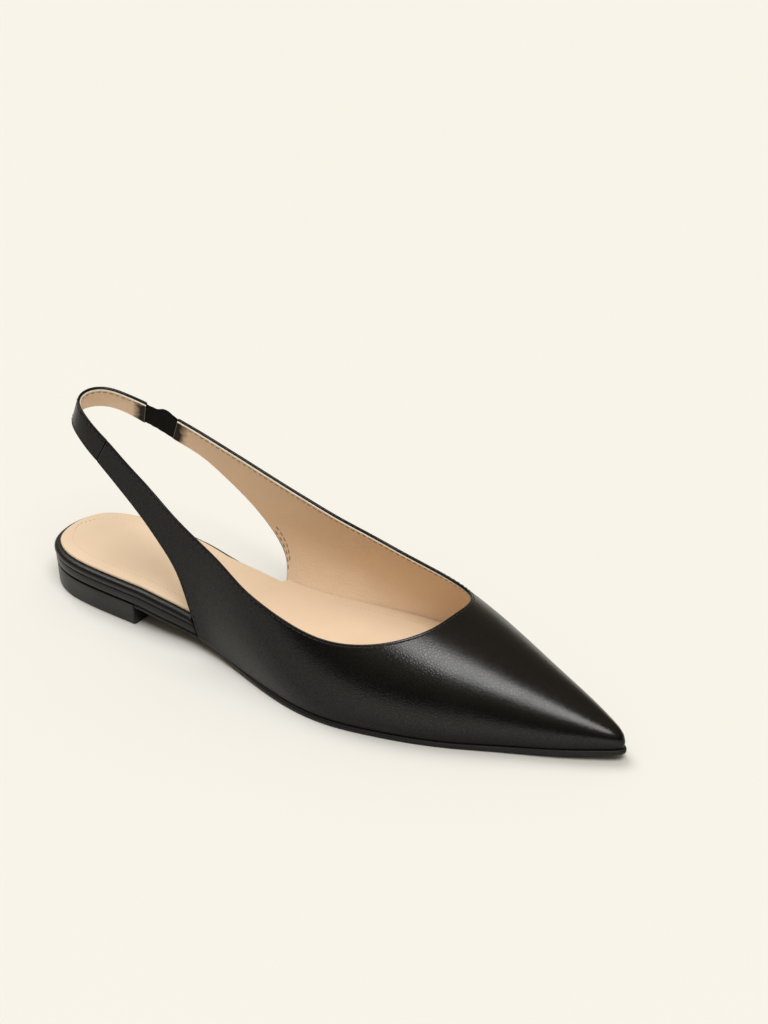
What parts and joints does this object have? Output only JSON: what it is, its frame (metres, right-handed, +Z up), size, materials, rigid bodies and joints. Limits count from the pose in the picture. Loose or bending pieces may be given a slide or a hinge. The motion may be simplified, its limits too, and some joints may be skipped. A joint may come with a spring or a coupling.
{
  "type": "sling back flat shoe",
  "caption": "Pointed-toe sling back flat for the right foot, with a low block heel, a leather upper open at the back and a strap with a short elastic.",
  "frame": {"origin": "on the floor, under the centre of the shoe's bounding box", "axes": "+X from the heel to the toe, +Y to the wearer's left, which is the inner side of this right shoe, +Z up"},
  "size_m": [0.2688, 0.081, 0.084],
  "materials": {
    "black_leather": "smooth satin black leather",
    "black_leather_cover": "thin black leather wrapped round the footbed's edge",
    "black_heel": "smooth black heel block, satin",
    "black_outsole": "thin matte black outsole",
    "beige_leather": "soft matte beige leather",
    "black_elastic": "matte black woven elastic"
  },
  "bodies": {
    "root": {"outsole": "black_outsole", "heel": "black_heel", "footbed": "black_leather_cover", "insole": "beige_leather", "upper": "black_leather", "heel_strap": "black_leather", "elastic_gore": "black_elastic"}
  },
  "joints": []
}
